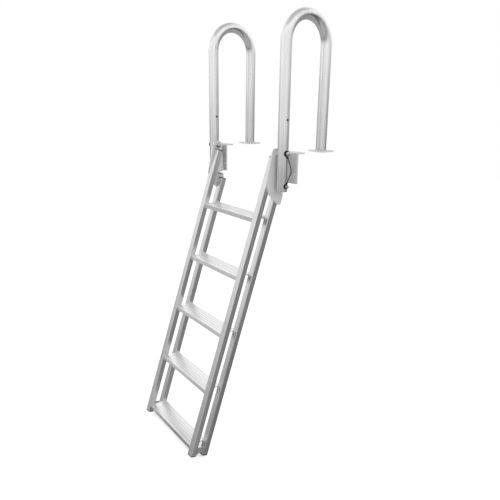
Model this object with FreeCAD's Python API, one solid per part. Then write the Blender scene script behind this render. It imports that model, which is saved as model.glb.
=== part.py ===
import FreeCAD, Part
import math
import os
from FreeCAD import Vector

# Flip-up dock ladder in millimetres. X runs along the steps, Y from the water to the dock and
# Z up, with the dock's top at Z 0. Shapes are drawn about the ladder's middle plane and the
# front handrail legs, and move at the end so that the origin lies under the right base plate.

# Side rails
clear_width = 406.4
rail_width = 31.75
rail_depth = 95.25
tube_depth = 28.6
tube_wall = 2.5
tube_corner = 3.2
ladder_length = 1447.8
lean_angle = 18.5
front_tube_top = 22.0
rear_tube_top = 153.0

# Tube caps
cap_thickness = 4.0
plug_length = 18.0
plug_clearance = 0.2

# Steps
step_count = 5
step_depth = 88.9
step_height = 22.2
step_gap = 254.0
step_top_thickness = 3.6
step_wall = 3.0
step_corner = 3.0
step_nose_inset = 3.7
step_above_foot = 38.0
groove_count = 5
groove_width = 8.0
groove_depth = 1.3
groove_edge_margin = 8.0

# Foot plates between the front and rear tubes
foot_plate_height = 41.0
foot_plate_thickness = 4.0
foot_notch_height = 14.0
foot_notch_top = 14.0

# Swing plates, as corners of the outline measured from the pivot and the round on each corner
plate_thickness = 6.35
plate_corners = [
    (22.0, -235.0, 6.0),
    (34.0, -192.0, 15.0),
    (20.0, 20.0, 18.0),
    (-28.8, 20.0, 20.0),
    (-62.5, -134.0, 15.0),
    (-48.5, -179.0, 12.0),
    (4.0, -233.0, 12.0),
]
slot_sweep = 30.0

# Handrails
handrail_diameter = 48.3
handrail_wall = 3.0
handrail_height = 596.9
handrail_depth = 279.4
leg_plate_gap = 7.6
leg_below_dock = 165.0

# Pivot bolts
pivot_height = 2.0
bolt_diameter = 12.7
bolt_running_clearance = 0.05
bore_clearance = 0.1
spacer_diameter = 25.4
collar_diameter = 17.0
collar_length = 6.4
side_clearance = 0.4
head_across_flats = 19.0
head_height = 8.0
nut_height = 11.0
washer_diameter = 27.0
washer_thickness = 2.5
bolt_end_length = 4.0
bolt_edge = 1.0

# Lock pins
lock_radius = 142.0
pin_diameter = 9.5
pin_clearance = 0.5
pin_reach = 32.0
pin_tip_radius = 2.5
pin_head_diameter = 14.3
pin_head_height = 8.0

# Lanyards
cord_diameter = 4.0
top_eye_radius = 11.2
pin_eye_radius = 7.7
eye_sleeve_diameter = 6.0
eye_sleeve_length = 11.0
eye_sleeve_gap = 1.0
eye_angle = 20.0
straight_from_top_eye = 21.0
straight_from_pin_eye = 20.0
bend_setback_share = 0.45

# Dock fixings
base_plate_width = 88.9
base_plate_depth = 82.5
base_plate_thickness = 6.35
base_plate_corner = 6.0
base_bolt_spacing_x = 63.5
base_bolt_spacing_y = 57.2
bolt_hole_diameter = 9.5
bracket_width = 100.0
bracket_height = 130.0
bracket_tab_length = 44.0
bracket_thickness = 6.35
bracket_inner_radius = 3.0
bracket_face_distance = 40.6
bracket_hole_spacing = 63.5
bracket_hole_drop = 89.0
bracket_web_bottom_gap = 6.0

# Cutting tools reach this far past the faces they cut. An edge is picked by its middle's place
# to within the slack, or by its direction to within the angle.
overcut = 1.0
pick_slack = 0.1
pick_angle = 8.0

# Places worked out from the sizes above
lean = math.radians(lean_angle)
half_clear = clear_width / 2
rail_outer = half_clear + rail_width
plate_outer = rail_outer + plate_thickness
handrail_radius = handrail_diameter / 2
handrail_x = plate_outer + leg_plate_gap + handrail_radius
handrail_outer = handrail_x + handrail_radius
leg_spacing = handrail_depth - handrail_diameter
bolt_radius = bolt_diameter / 2
pin_height = pivot_height - lock_radius
front_face = -tube_depth / 2
rear_tube_face = front_face + rail_depth - tube_depth
foot_end = ladder_length + (pivot_height + tube_depth / 2 * math.sin(lean)) / math.cos(lean)
step_pitch = step_gap + step_height / math.cos(lean)
eye_x = handrail_outer + collar_length / 2
ORIGIN = Vector(handrail_x, leg_spacing, 0)
X_AXIS = Vector(1, 0, 0)
Y_AXIS = Vector(0, 1, 0)
Z_AXIS = Vector(0, 0, 1)
PIVOT = Vector(0, 0, pivot_height)

# The slack middle of a lanyard's route, as distances outboard of the eyes' plane, behind the
# leg's centre line and above the dock. The other points lie on the sleeves' centre lines.
lanyard_middle = [(5.0, 21.5, -60.5), (6.0, 22.5, -83.0)]


def box(x0, x1, y0, y1, z0, z1):
    return Part.makeBox(x1 - x0, y1 - y0, z1 - z0, Vector(x0, y0, z0))


def rod_x(radius, x0, x1, y, z):
    return Part.makeCylinder(radius, x1 - x0, Vector(x0, y, z), X_AXIS)


def round_box(x0, x1, y0, y1, z0, z1, direction, radius):
    """A box with the four edges along one direction rounded."""
    shape = box(x0, x1, y0, y1, z0, z1)
    closest = math.cos(math.radians(pick_angle))
    edges = [edge for edge in shape.Edges
             if abs(edge.tangentAt(edge.FirstParameter).dot(direction)) > closest]
    return shape.makeFillet(radius, edges)


def rounded_outline(corners, x):
    """A closed wire across X through corners (y, z, radius), with tangent arcs on them."""
    count = len(corners)
    points = [Vector(x, y, z) for y, z, radius in corners]
    arcs = []
    for index in range(count):
        here = points[index]
        back = (points[index - 1] - here).normalize()
        ahead = (points[(index + 1) % count] - here).normalize()
        half = back.getAngle(ahead) / 2
        radius = corners[index][2]
        start = here + back * (radius / math.tan(half))
        end = here + ahead * (radius / math.tan(half))
        centre = here + (back + ahead).normalize() * (radius / math.sin(half))
        middle = centre + (here - centre).normalize() * radius
        arcs.append((start, middle, end))
    edges = []
    for index in range(count):
        start, middle, end = arcs[index]
        edges.append(Part.Arc(start, middle, end).toShape())
        edges.append(Part.makeLine(end, arcs[(index + 1) % count][0]))
    return Part.Wire(edges)


def lean_to_place(shape):
    """Turns a shape drawn upright below the pivot to the ladder's lean."""
    placed = shape.copy()
    placed.rotate(Vector(0, 0, 0), X_AXIS, -lean_angle)
    placed.translate(PIVOT)
    return placed


def rail_tube(front, top, bottom):
    """One hollow side tube, drawn upright, with its ends cut square."""
    outer = round_box(half_clear, rail_outer, front, front + tube_depth,
                      -bottom, -top, Z_AXIS, tube_corner)
    inner = round_box(half_clear + tube_wall, rail_outer - tube_wall, front + tube_wall,
                      front + tube_depth - tube_wall, -bottom - overcut, -top + overcut,
                      Z_AXIS, tube_corner - tube_wall)
    return outer.cut(inner)


def tube_cap(front, end, lid_direction):
    """A plug with a lid as wide as the tube. The lid points down for 1 and up for -1."""
    lid = round_box(half_clear, rail_outer, front, front + tube_depth,
                    -end, -end + cap_thickness, Z_AXIS, tube_corner)
    inset = tube_wall + plug_clearance
    plug = round_box(half_clear + inset, rail_outer - inset, front + inset,
                     front + tube_depth - inset, -end + cap_thickness,
                     -end + cap_thickness + plug_length, Z_AXIS, tube_corner - tube_wall)
    cap = lid.fuse(plug).removeSplitter()
    if lid_direction < 0:
        cap = cap.mirror(Vector(0, 0, -end), Z_AXIS)
    return cap


def foot_plate():
    """The plate between the two tubes at the foot, with a tapered notch from below."""
    gap_front = front_face + tube_depth
    gap_rear = rear_tube_face
    bottom = -foot_end + cap_thickness
    middle = (gap_front + gap_rear) / 2
    points = [
        Vector(rail_outer, gap_front, bottom),
        Vector(rail_outer, middle - foot_notch_top / 2, bottom + foot_notch_height),
        Vector(rail_outer, middle + foot_notch_top / 2, bottom + foot_notch_height),
        Vector(rail_outer, gap_rear, bottom),
        Vector(rail_outer, gap_rear, bottom + foot_plate_height),
        Vector(rail_outer, gap_front, bottom + foot_plate_height),
    ]
    face = Part.Face(Part.makePolygon(points + points[:1]))
    return face.extrude(Vector(-foot_plate_thickness, 0, 0))


def step(index):
    """An inverted channel, level when the ladder hangs, with grooves along its top."""
    nose_s = foot_end - step_above_foot - (step_count - 1 - index) * step_pitch
    face_y = -nose_s * math.sin(lean) + front_face * math.cos(lean)
    top = pivot_height - nose_s * math.cos(lean) - front_face * math.sin(lean)
    nose = face_y + step_nose_inset
    tail = nose + step_depth
    block = box(-half_clear, half_clear, nose, tail, top - step_height, top)
    upper_edges = [edge for edge in block.Edges
                   if edge.CenterOfMass.z > top - pick_slack
                   and abs(edge.CenterOfMass.x) < pick_slack]
    block = block.makeFillet(step_corner, upper_edges)
    left, right = -half_clear - overcut, half_clear + overcut
    hollow = box(left, right, nose + step_wall, tail - step_wall,
                 top - step_height - overcut, top - step_top_thickness)
    channel = block.cut(hollow)
    groove_pitch = (step_depth - 2 * groove_edge_margin) / groove_count
    grooves = []
    for number in range(groove_count):
        middle = nose + groove_edge_margin + groove_pitch * (number + 0.5)
        grooves.append(box(left, right, middle - groove_width / 2, middle + groove_width / 2,
                           top - groove_depth, top + overcut))
    return channel.cut(grooves)


def swing_plate():
    """The plate welded on both tubes, with the pivot's bore and the lock pin's open slot."""
    corners = [(y, z + pivot_height, radius) for y, z, radius in plate_corners]
    face = Part.Face(rounded_outline(corners, rail_outer))
    plate = face.extrude(Vector(plate_thickness, 0, 0))
    through_start = rail_outer - overcut
    through_end = plate_outer + overcut
    bore = rod_x(bolt_radius + bolt_running_clearance, through_start, through_end,
                 0, pivot_height)
    half_slot = pin_diameter / 2 + pin_clearance
    seat = rod_x(half_slot, through_start, through_end, 0, pin_height)
    section = [
        Vector(through_start, 0, pin_height - half_slot),
        Vector(through_end, 0, pin_height - half_slot),
        Vector(through_end, 0, pin_height + half_slot),
        Vector(through_start, 0, pin_height + half_slot),
    ]
    band = Part.Face(Part.makePolygon(section + section[:1]))
    track = band.revolve(PIVOT, X_AXIS, slot_sweep)
    return plate.cut([bore, seat, track])


def handrail():
    """One bent tube: the front leg, a half circle over the top and the rear leg."""
    bend_radius = leg_spacing / 2
    bend_z = handrail_height - handrail_radius - bend_radius

    def bent_rod(radius, margin):
        front = Part.makeCylinder(radius, bend_z + leg_below_dock + margin,
                                  Vector(handrail_x, 0, -leg_below_dock - margin))
        rear = Part.makeCylinder(radius, bend_z - base_plate_thickness + margin,
                                 Vector(handrail_x, leg_spacing, base_plate_thickness - margin))
        disc = Part.Face(Part.Wire(Part.makeCircle(radius, Vector(handrail_x, 0, bend_z))))
        bend = disc.revolve(Vector(handrail_x, bend_radius, bend_z), X_AXIS, -180)
        return front.fuse([bend, rear]).removeSplitter()

    tube = bent_rod(handrail_radius, 0).cut(bent_rod(handrail_radius - handrail_wall, overcut))
    bore_start = handrail_x - handrail_radius - overcut
    bore_end = handrail_outer + overcut
    bolt_bore = rod_x(bolt_radius + bore_clearance, bore_start, bore_end, 0, pivot_height)
    low_bore = rod_x(pin_diameter / 2 + pin_clearance, bore_start, bore_end, 0, pin_height)
    high_bore = rod_x(pin_diameter / 2 + pin_clearance, bore_start, bore_end,
                      0, pivot_height + lock_radius)
    return tube.cut([bolt_bore, low_bore, high_bore])


def leg_rod():
    """The outside of the front leg near the dock, which webs and spacers are coped with."""
    return Part.makeCylinder(handrail_radius, leg_below_dock + handrail_diameter,
                             Vector(handrail_x, 0, -leg_below_dock))


def base_plate():
    plate = round_box(handrail_x - base_plate_width / 2, handrail_x + base_plate_width / 2,
                      leg_spacing - base_plate_depth / 2, leg_spacing + base_plate_depth / 2,
                      0, base_plate_thickness, Z_AXIS, base_plate_corner)
    holes = []
    for side_x in (-1, 1):
        for side_y in (-1, 1):
            centre = Vector(handrail_x + side_x * base_bolt_spacing_x / 2,
                            leg_spacing + side_y * base_bolt_spacing_y / 2, -overcut)
            holes.append(Part.makeCylinder(bolt_hole_diameter / 2,
                                           base_plate_thickness + 2 * overcut, centre))
    return plate.cut(holes)


def dock_bracket():
    """An angle over the dock's edge, held behind the front leg by an upright web."""
    left = handrail_x - bracket_width / 2
    back = bracket_face_distance + bracket_thickness
    upright = box(left, left + bracket_width, bracket_face_distance, back,
                  -bracket_height, bracket_thickness)
    tab = box(left, left + bracket_width, bracket_face_distance,
              bracket_face_distance + bracket_tab_length, 0, bracket_thickness)
    angle = upright.fuse(tab).removeSplitter()
    outer_bend = [edge for edge in angle.Edges
                  if abs(edge.CenterOfMass.y - bracket_face_distance) < pick_slack
                  and abs(edge.CenterOfMass.z - bracket_thickness) < pick_slack]
    angle = angle.makeFillet(bracket_inner_radius + bracket_thickness / 2, outer_bend)
    web = box(handrail_x - bracket_thickness / 2, handrail_x + bracket_thickness / 2,
              handrail_radius / 2, bracket_face_distance + bracket_thickness / 2,
              -bracket_height + bracket_web_bottom_gap, -bracket_web_bottom_gap)
    bracket = angle.fuse(web.cut(leg_rod())).removeSplitter()
    holes = []
    for side in (-1, 1):
        centre = Vector(handrail_x + side * bracket_hole_spacing / 2,
                        bracket_face_distance - overcut, -bracket_hole_drop)
        holes.append(Part.makeCylinder(bolt_hole_diameter / 2,
                                       bracket_thickness + 2 * overcut, centre, Y_AXIS))
    return bracket.cut(holes)


def pivot_spacer():
    """A round spacer from the swing plate to the leg, its far end coped to the tube."""
    start = plate_outer + side_clearance
    blank = rod_x(spacer_diameter / 2, start, handrail_x, 0, pivot_height)
    bore = rod_x(bolt_radius + bore_clearance, start - overcut, handrail_x + overcut,
                 0, pivot_height)
    return blank.cut([bore, leg_rod()])


def pivot_collar():
    """A round collar under the bolt's head, coped to the leg, for the lanyard's eye."""
    end = handrail_outer + collar_length
    blank = rod_x(collar_diameter / 2, handrail_x, end, 0, pivot_height)
    bore = rod_x(bolt_radius + bore_clearance, handrail_x - overcut, end + overcut,
                 0, pivot_height)
    return blank.cut([bore, leg_rod()])


def hex_prism(x0, x1, across_flats):
    corner = across_flats / math.sqrt(3)
    points = []
    for number in range(6):
        angle = math.radians(60 * number)
        points.append(Vector(x0, corner * math.cos(angle),
                             pivot_height + corner * math.sin(angle)))
    return Part.Face(Part.makePolygon(points + points[:1])).extrude(Vector(x1 - x0, 0, 0))


def pivot_bolt():
    head_start = handrail_outer + collar_length
    washer_end = rail_outer - side_clearance
    tip = washer_end - washer_thickness - nut_height - bolt_end_length
    shank = rod_x(bolt_radius, tip, head_start + overcut, 0, pivot_height)
    tip_edges = [edge for edge in shank.Edges if edge.CenterOfMass.x < tip + pick_slack]
    shank = shank.makeChamfer(bolt_edge, tip_edges)
    head = hex_prism(head_start, head_start + head_height, head_across_flats)
    dome = Part.makeSphere(head_across_flats, Vector(
        head_start + head_height - head_across_flats + bolt_edge / 2, 0, pivot_height))
    return shank.fuse(head.common(dome)).removeSplitter()


def pivot_nut():
    """The nut with its washer, just clear of the swing plate's inner face."""
    washer_end = rail_outer - side_clearance
    washer_start = washer_end - washer_thickness
    washer = rod_x(washer_diameter / 2, washer_start, washer_end, 0, pivot_height)
    nut = hex_prism(washer_start - nut_height, washer_start, head_across_flats)
    bore = rod_x(bolt_radius, washer_start - nut_height - overcut, washer_end + overcut,
                 0, pivot_height)
    return washer.fuse(nut).cut(bore)


def lock_pin():
    tip = rail_outer - pin_reach
    head_start = handrail_outer + collar_length
    shank = rod_x(pin_diameter / 2, tip, head_start + overcut, 0, pin_height)
    tip_edges = [edge for edge in shank.Edges if edge.CenterOfMass.x < tip + pick_slack]
    shank = shank.makeFillet(pin_tip_radius, tip_edges)
    head = rod_x(pin_head_diameter / 2, head_start, head_start + pin_head_height,
                 0, pin_height)
    rim = [edge for edge in head.Edges
           if edge.CenterOfMass.x > head_start + pin_head_height - pick_slack]
    head = head.makeFillet(pin_tip_radius, rim)
    return shank.fuse(head).removeSplitter()


def eye_direction(side):
    """The way a lanyard's sleeve points from its eye: down for -1 and up for 1."""
    angle = math.radians(eye_angle)
    return Vector(0, math.sin(angle), side * math.cos(angle))


def lanyard_eye(height, ring_radius, side):
    """A ring of the cord round a shank, closed by a sleeve that holds the cord's end."""
    centre = Vector(eye_x, 0, height)
    ring = Part.makeTorus(ring_radius, cord_diameter / 2, centre, X_AXIS)
    direction = eye_direction(side)
    sleeve = Part.makeCylinder(eye_sleeve_diameter / 2, eye_sleeve_length,
                               centre + direction * (ring_radius + eye_sleeve_gap), direction)
    clear_hole = rod_x(ring_radius - cord_diameter / 2, eye_x - eye_sleeve_diameter,
                       eye_x + eye_sleeve_diameter, 0, height)
    return ring.fuse(sleeve.cut(clear_hole)).removeSplitter()


def cord_tube(points, radius):
    """A round cord along straight runs that meet in tangent arcs."""
    edges = []
    here = points[0]
    for index in range(1, len(points) - 1):
        corner = points[index]
        back = points[index - 1] - corner
        ahead = points[index + 1] - corner
        shorter = min(back.Length, ahead.Length)
        back.normalize()
        ahead.normalize()
        half_turn = (math.pi - back.getAngle(ahead)) / 2
        setback = bend_setback_share * shorter
        bend = setback / math.tan(half_turn)
        start = corner + back * setback
        end = corner + ahead * setback
        to_centre = (back + ahead).normalize()
        centre = corner + to_centre * (bend / math.cos(half_turn))
        edges.append(Part.makeLine(here, start))
        edges.append(Part.Arc(start, centre - to_centre * bend, end).toShape())
        print("lanyard bend radius", round(bend, 1))
        here = end
    edges.append(Part.makeLine(here, points[-1]))
    path = Part.Wire(edges)
    print("lanyard length", round(path.Length, 1))
    circle = Part.Wire(Part.makeCircle(radius, points[0], points[1] - points[0]))
    tube = path.makePipeShell([circle], True, True)
    print("volume over section and length",
          round(tube.Volume / (math.pi * radius ** 2 * path.Length), 4))
    return tube


def lanyard_route():
    """The cord's corner points, from the pivot's eye down to the lock pin's eye."""
    top_centre = Vector(eye_x, 0, pivot_height)
    pin_centre = Vector(eye_x, 0, pin_height)
    down = eye_direction(-1)
    up = eye_direction(1)
    top_end = top_centre + down * (top_eye_radius + eye_sleeve_gap + eye_sleeve_length)
    pin_end = pin_centre + up * (pin_eye_radius + eye_sleeve_gap + eye_sleeve_length)
    below_top = top_end + down * straight_from_top_eye
    above_pin = pin_end + up * straight_from_pin_eye
    middle = [Vector(eye_x + x, y, z) for x, y, z in lanyard_middle]
    return [top_end, below_top] + middle + [above_pin, pin_end]


os.makedirs("parts", exist_ok=True)


def export(name, shape):
    solid = shape.copy()
    solid.translate(ORIGIN.negative())
    solid.exportStep("parts/" + name + ".step")


side_parts = {
    "front_rail": lean_to_place(rail_tube(front_face, front_tube_top + cap_thickness,
                                          foot_end - cap_thickness)),
    "rear_rail": lean_to_place(rail_tube(rear_tube_face, rear_tube_top + cap_thickness,
                                         foot_end - cap_thickness)),
    "front_foot_cap": lean_to_place(tube_cap(front_face, foot_end, 1)),
    "rear_foot_cap": lean_to_place(tube_cap(rear_tube_face, foot_end, 1)),
    "front_top_cap": lean_to_place(tube_cap(front_face, front_tube_top, -1)),
    "rear_top_cap": lean_to_place(tube_cap(rear_tube_face, rear_tube_top, -1)),
    "foot_plate": lean_to_place(foot_plate()),
    "swing_plate": swing_plate(),
    "handrail": handrail(),
    "base_plate": base_plate(),
    "dock_bracket": dock_bracket(),
    "pivot_spacer": pivot_spacer(),
    "pivot_collar": pivot_collar(),
    "pivot_bolt": pivot_bolt(),
    "pivot_nut": pivot_nut(),
    "lock_pin": lock_pin(),
    "lanyard": cord_tube(lanyard_route(), cord_diameter / 2),
    "lanyard_top_eye": lanyard_eye(pivot_height, top_eye_radius, -1),
    "lanyard_pin_eye": lanyard_eye(pin_height, pin_eye_radius, 1),
}
for name, shape in side_parts.items():
    export("right_" + name, shape)
    export("left_" + name, shape.mirror(Vector(0, 0, 0), X_AXIS))
for index in range(step_count):
    export("step_" + str(index + 1), step(index))
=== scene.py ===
import math

import bpy
import numpy as np
from bpy.props import FloatProperty, FloatVectorProperty, IntProperty, PointerProperty
from bpy.types import Node, NodeSocket, Operator, Panel, PropertyGroup, Scene
from mathutils import Matrix, Vector


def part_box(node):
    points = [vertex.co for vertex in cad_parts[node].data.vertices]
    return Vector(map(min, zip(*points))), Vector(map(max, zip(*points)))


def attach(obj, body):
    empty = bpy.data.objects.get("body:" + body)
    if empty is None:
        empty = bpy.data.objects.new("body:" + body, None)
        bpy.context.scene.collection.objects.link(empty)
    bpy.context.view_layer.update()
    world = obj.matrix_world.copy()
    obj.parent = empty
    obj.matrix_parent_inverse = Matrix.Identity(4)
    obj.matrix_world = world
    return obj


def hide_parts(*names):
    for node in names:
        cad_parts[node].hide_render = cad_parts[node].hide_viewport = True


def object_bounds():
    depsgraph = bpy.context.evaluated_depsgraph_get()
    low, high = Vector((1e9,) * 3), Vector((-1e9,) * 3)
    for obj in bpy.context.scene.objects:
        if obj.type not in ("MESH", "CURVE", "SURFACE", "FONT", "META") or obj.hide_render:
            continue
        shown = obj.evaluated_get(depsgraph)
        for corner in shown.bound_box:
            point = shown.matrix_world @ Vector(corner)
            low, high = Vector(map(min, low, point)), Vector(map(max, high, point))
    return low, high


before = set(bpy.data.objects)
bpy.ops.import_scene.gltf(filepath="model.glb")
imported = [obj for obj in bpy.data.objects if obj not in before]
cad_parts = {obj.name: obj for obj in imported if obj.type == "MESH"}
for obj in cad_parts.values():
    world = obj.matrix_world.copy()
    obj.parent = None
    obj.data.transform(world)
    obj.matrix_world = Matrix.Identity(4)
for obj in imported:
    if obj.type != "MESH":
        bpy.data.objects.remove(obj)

bl_info = {
    "name": "Flip-up Dock Ladder",
    "version": (1, 0, 0),
    "blender": (4, 5, 0),
    "location": "3D View > Sidebar > Dock Ladder",
    "description": "Finishes, welds, bolts, lanyards and studio for an aluminium flip-up dock ladder",
    "category": "Object",
}

# Lengths are in metres in the ladder's own frame: X along the steps, Y from the water to the
# dock and Z up from the dock's top.
MM = 0.001
SIDES = ("right", "left")
STEPS = [name for name in sorted(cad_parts) if name.startswith("step_")]
LEAN = math.radians(18.5)
CAD_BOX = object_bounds()


def box_of(node):
    """The lowest and highest corner of a node, as two arrays."""
    low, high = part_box(node)
    return np.array(low), np.array(high)


def middle_of(node):
    """The middle of a node's box."""
    low, high = box_of(node)
    return (low + high) / 2


MIDDLE_X = middle_of("step_1")[0]
PIVOT = middle_of("right_pivot_collar")
LEG_Y = PIVOT[1]
RAIL_OUT = box_of("right_front_rail")[1][0]
HANDRAIL_RADIUS = (box_of("right_handrail")[1] - box_of("right_handrail")[0])[0] / 2
HANDRAIL_WALL = 3.0 * MM
SIDE_FRAME_DEPTH = 95.25 * MM
SIDE_TUBE_DEPTH = 28.6 * MM

ACROSS = np.array([0, math.cos(LEAN), -math.sin(LEAN)])
INBOARD = np.array([-1.0, 0, 0])
OUTBOARD = np.array([1.0, 0, 0])
DOCKWARD = np.array([0, 1.0, 0])
UPWARD = np.array([0, 0, 1.0])


def rail_point(x, across, down):
    """A point of the leaning ladder, from its distance behind the front tube's middle and the
    distance down the rail from the pivot."""
    return (x, LEG_Y + across * math.cos(LEAN) - down * math.sin(LEAN),
            PIVOT[2] - across * math.sin(LEAN) - down * math.cos(LEAN))


# Skins and pieces

def closed_skin(rings, loop=False):
    """A closed skin over rings of points, given as an array of rings, points and coordinates.

    Each point is joined to its neighbours on its own ring and on the next ring. The first and
    the last ring are closed on their middle points, or on each other where they make a loop.
    The faces are turned to point outwards where the enclosed volume, which goes with the sum
    of the triangles' corner products, comes out below nothing.
    """
    count, around = rings.shape[:2]
    points = rings.reshape(-1, 3)
    row, column = np.meshgrid(np.arange(count if loop else count - 1), np.arange(around), indexing="ij")
    next_row, next_column = (row + 1) % count, (column + 1) % around
    quads = np.stack([row * around + column, next_row * around + column,
                      next_row * around + next_column, row * around + next_column], -1).reshape(-1, 4)
    fans = np.zeros((0, 3), int)
    if not loop:
        first, last = len(points), len(points) + 1
        points = np.vstack([points, rings[0].mean(0), rings[-1].mean(0)])
        here = np.arange(around)
        beside = (here + 1) % around
        end = (count - 1) * around
        fans = np.vstack([np.stack([np.full(around, first), here, beside], -1),
                          np.stack([np.full(around, last), end + beside, end + here], -1)])
    triangles = np.vstack([quads[:, [0, 1, 2]], quads[:, [0, 2, 3]], fans])
    a, b, c = (points[triangles[:, k]] for k in range(3))
    if np.einsum("ij,ij->i", a, np.cross(b, c)).sum() < 0:
        quads, fans = quads[:, ::-1], fans[:, ::-1]
    return points, quads, fans


def mirrored(skin):
    """A skin on the ladder's other side: X becomes twice the middle less X."""
    points, quads, fans = skin
    other = points.copy()
    other[:, 0] = 2 * MIDDLE_X - other[:, 0]
    return other, quads[:, ::-1], fans[:, ::-1]


def put_in_scene(name, data):
    """An object with its mesh, lamp or camera, linked to the scene."""
    holder = bpy.data.objects.new(name, data)
    bpy.context.scene.collection.objects.link(holder)
    return holder


def add_piece(name, skins, material, body, replaced=()):
    """One object from several skins, at the origin, riding on a body of the ladder."""
    sharp_angle = math.radians(35)
    points, faces = [], []
    for own, quads, fans in skins:
        faces += (quads + len(points)).tolist() + (fans + len(points)).tolist()
        points += own.tolist()
    mesh = bpy.data.meshes.new(name)
    mesh.from_pydata(points, [], faces)
    mesh.shade_smooth()
    mesh.set_sharp_from_angle(angle=sharp_angle)
    mesh.materials.append(material)
    piece = put_in_scene(name, mesh)
    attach(piece, body)
    if replaced:
        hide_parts(*replaced)
    return piece


def add_pair(name, skins, material, body, replaced=()):
    """The right-hand piece and its mirror image on the left."""
    both = (skins, [mirrored(skin) for skin in skins])
    return [add_piece(f"{side}_{name}", own, material, body, [f"{side}_{node}" for node in replaced])
            for side, own in zip(SIDES, both)]


def round_angles(count):
    """Angles spread evenly over a whole turn."""
    return np.arange(count) * 2 * math.pi / count


def rings_round(middles, radius, angle, side, other):
    """Rings round a row of middles: a point lies off its middle by its radius, times the cosine
    of its angle along one direction and the sine along the other."""
    spokes = np.cos(angle)[None, :, None] * side[:, None] + np.sin(angle)[None, :, None] * other[:, None]
    return middles[:, None] + radius[..., None] * spokes


def turned(stations, radius_at, centre, around=72):
    """A shape turned about a line along X, with a ring of points at every station. A point lies
    off the line by what radius_at gives for the station's number and the angle."""
    number, turn = np.meshgrid(np.arange(len(stations)), round_angles(around), indexing="ij")
    radius = radius_at(number, turn)
    x = np.broadcast_to(stations[:, None], radius.shape)
    y, z = centre[1] + radius * np.cos(turn), centre[2] + radius * np.sin(turn)
    return closed_skin(np.stack([x, y, z], -1))


def turned_outline(outline, centre):
    """A shape turned about a line along X from (x, radius) points of its outline."""
    outline = np.array(outline)
    return turned(outline[:, 0], lambda number, turn: outline[number, 1], centre)


def hexagon(across_flats, turn):
    """How far a hexagon's edge is from its centre: half the flats over the cosine to a flat."""
    from_flat = np.mod(turn, math.pi / 3) - math.pi / 6
    return across_flats / 2 / np.cos(from_flat)


def corner_arc(x, radius, round_off, start, end, count=6):
    """Points of a rounded corner of a turned outline, round the arc's centre at x and radius."""
    angle = np.radians(np.linspace(start, end, count))
    return [(x + round_off * math.cos(a), radius + round_off * math.sin(a)) for a in angle]


def weld_bead(path, along_first, along_second, leg, ripple_pitch):
    """A fillet weld that lies in the corner along a path, closed at both ends.

    Round the section the bead's edge goes from one plate to the other: at an angle it is as far
    from the corner as a chord between the two legs, drawn out a little towards an arc. Along
    the path the leg swells once for each ripple, later in the middle of the bead than at its
    edges, which gives the crescents of a hand-laid weld, and it dies away over the last leg.
    """
    rings_per_ripple, section_points = 6, 8
    chord_share, arc_share = 0.55, 0.45
    ripple_swell, ripple_lag = 0.07, 0.35
    end_share = 0.25
    root_depth = 0.1 * leg
    path = np.asarray(path, float)
    runs = np.linalg.norm(np.diff(path, axis=0), axis=1)
    reach = np.concatenate([[0], np.cumsum(runs)])
    place = np.linspace(0, reach[-1], max(12, int(reach[-1] / ripple_pitch * rings_per_ripple)))

    def carried(values):
        values = np.broadcast_to(values, path.shape)
        return np.stack([np.interp(place, reach, values[:, k]) for k in range(3)], -1)

    middle, first, second = carried(path), carried(along_first), carried(along_second)
    section = np.linspace(0, math.pi / 2, section_points)
    crown = chord_share / (np.cos(section) + np.sin(section)) + arc_share
    phase = 2 * math.pi * (place[:, None] / ripple_pitch - ripple_lag * np.sin(2 * section)[None, :])
    ends = np.clip(np.minimum(place, reach[-1] - place) / leg, 0, 1) ** 0.5
    swollen = crown * (1 + ripple_swell * np.cos(phase))
    size = leg * (end_share + (1 - end_share) * ends)[:, None] * swollen
    outer = rings_round(middle, size, section, first, second)
    root = middle - root_depth * (first + second)
    return closed_skin(np.concatenate([outer, root[:, None]], 1))


# Colours and sizes that a maker would change

def linear(colour):
    """A colour written as sRGB hex digits, as linear red, green and blue."""
    parts = [int(colour[k:k + 2], 16) / 255 for k in (0, 2, 4)]
    return tuple(p / 12.92 if p <= 0.04045 else ((p + 0.055) / 1.055) ** 2.4 for p in parts)


def colour_property(name, description, colour):
    return FloatVectorProperty(name=name, description=description, subtype="COLOR", size=3,
                               min=0.0, max=1.0, default=linear(colour))


def amount(kind, name, description, default):
    return FloatProperty(name=name, description=description, default=default, **kind)


LENGTH = {"unit": "LENGTH", "subtype": "DISTANCE", "precision": 5}
SHARE = {"subtype": "FACTOR", "min": 0.0, "max": 1.0}
POWER = {"unit": "POWER"}


class LadderFinishes(PropertyGroup):
    handrail: colour_property("Handrail tube", "Drawn and satin anodised aluminium tube", "F0F0F0")
    rail: colour_property("Rail tube", "Extruded aluminium side rail", "DEDEDE")
    tread: colour_property("Tread", "Extruded aluminium tread", "FAFAFA")
    plate: colour_property("Plate", "Rolled aluminium plate", "EAEAEA")
    # Darker than the tubes partly as weld metal and partly as painted shade in the corners by the beads.
    weld: colour_property("Weld", "Aluminium weld metal as laid", "D1D1D1")
    steel: colour_property("Bolts", "Plain stainless steel", "CDCDCC")
    nylon: colour_property("Nylon", "Natural nylon", "E3E2DE")
    cap: colour_property("Caps", "Black polyethylene", "0A0A0B")
    cable: colour_property("Lanyard", "Black vinyl over wire rope", "060607")


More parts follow.
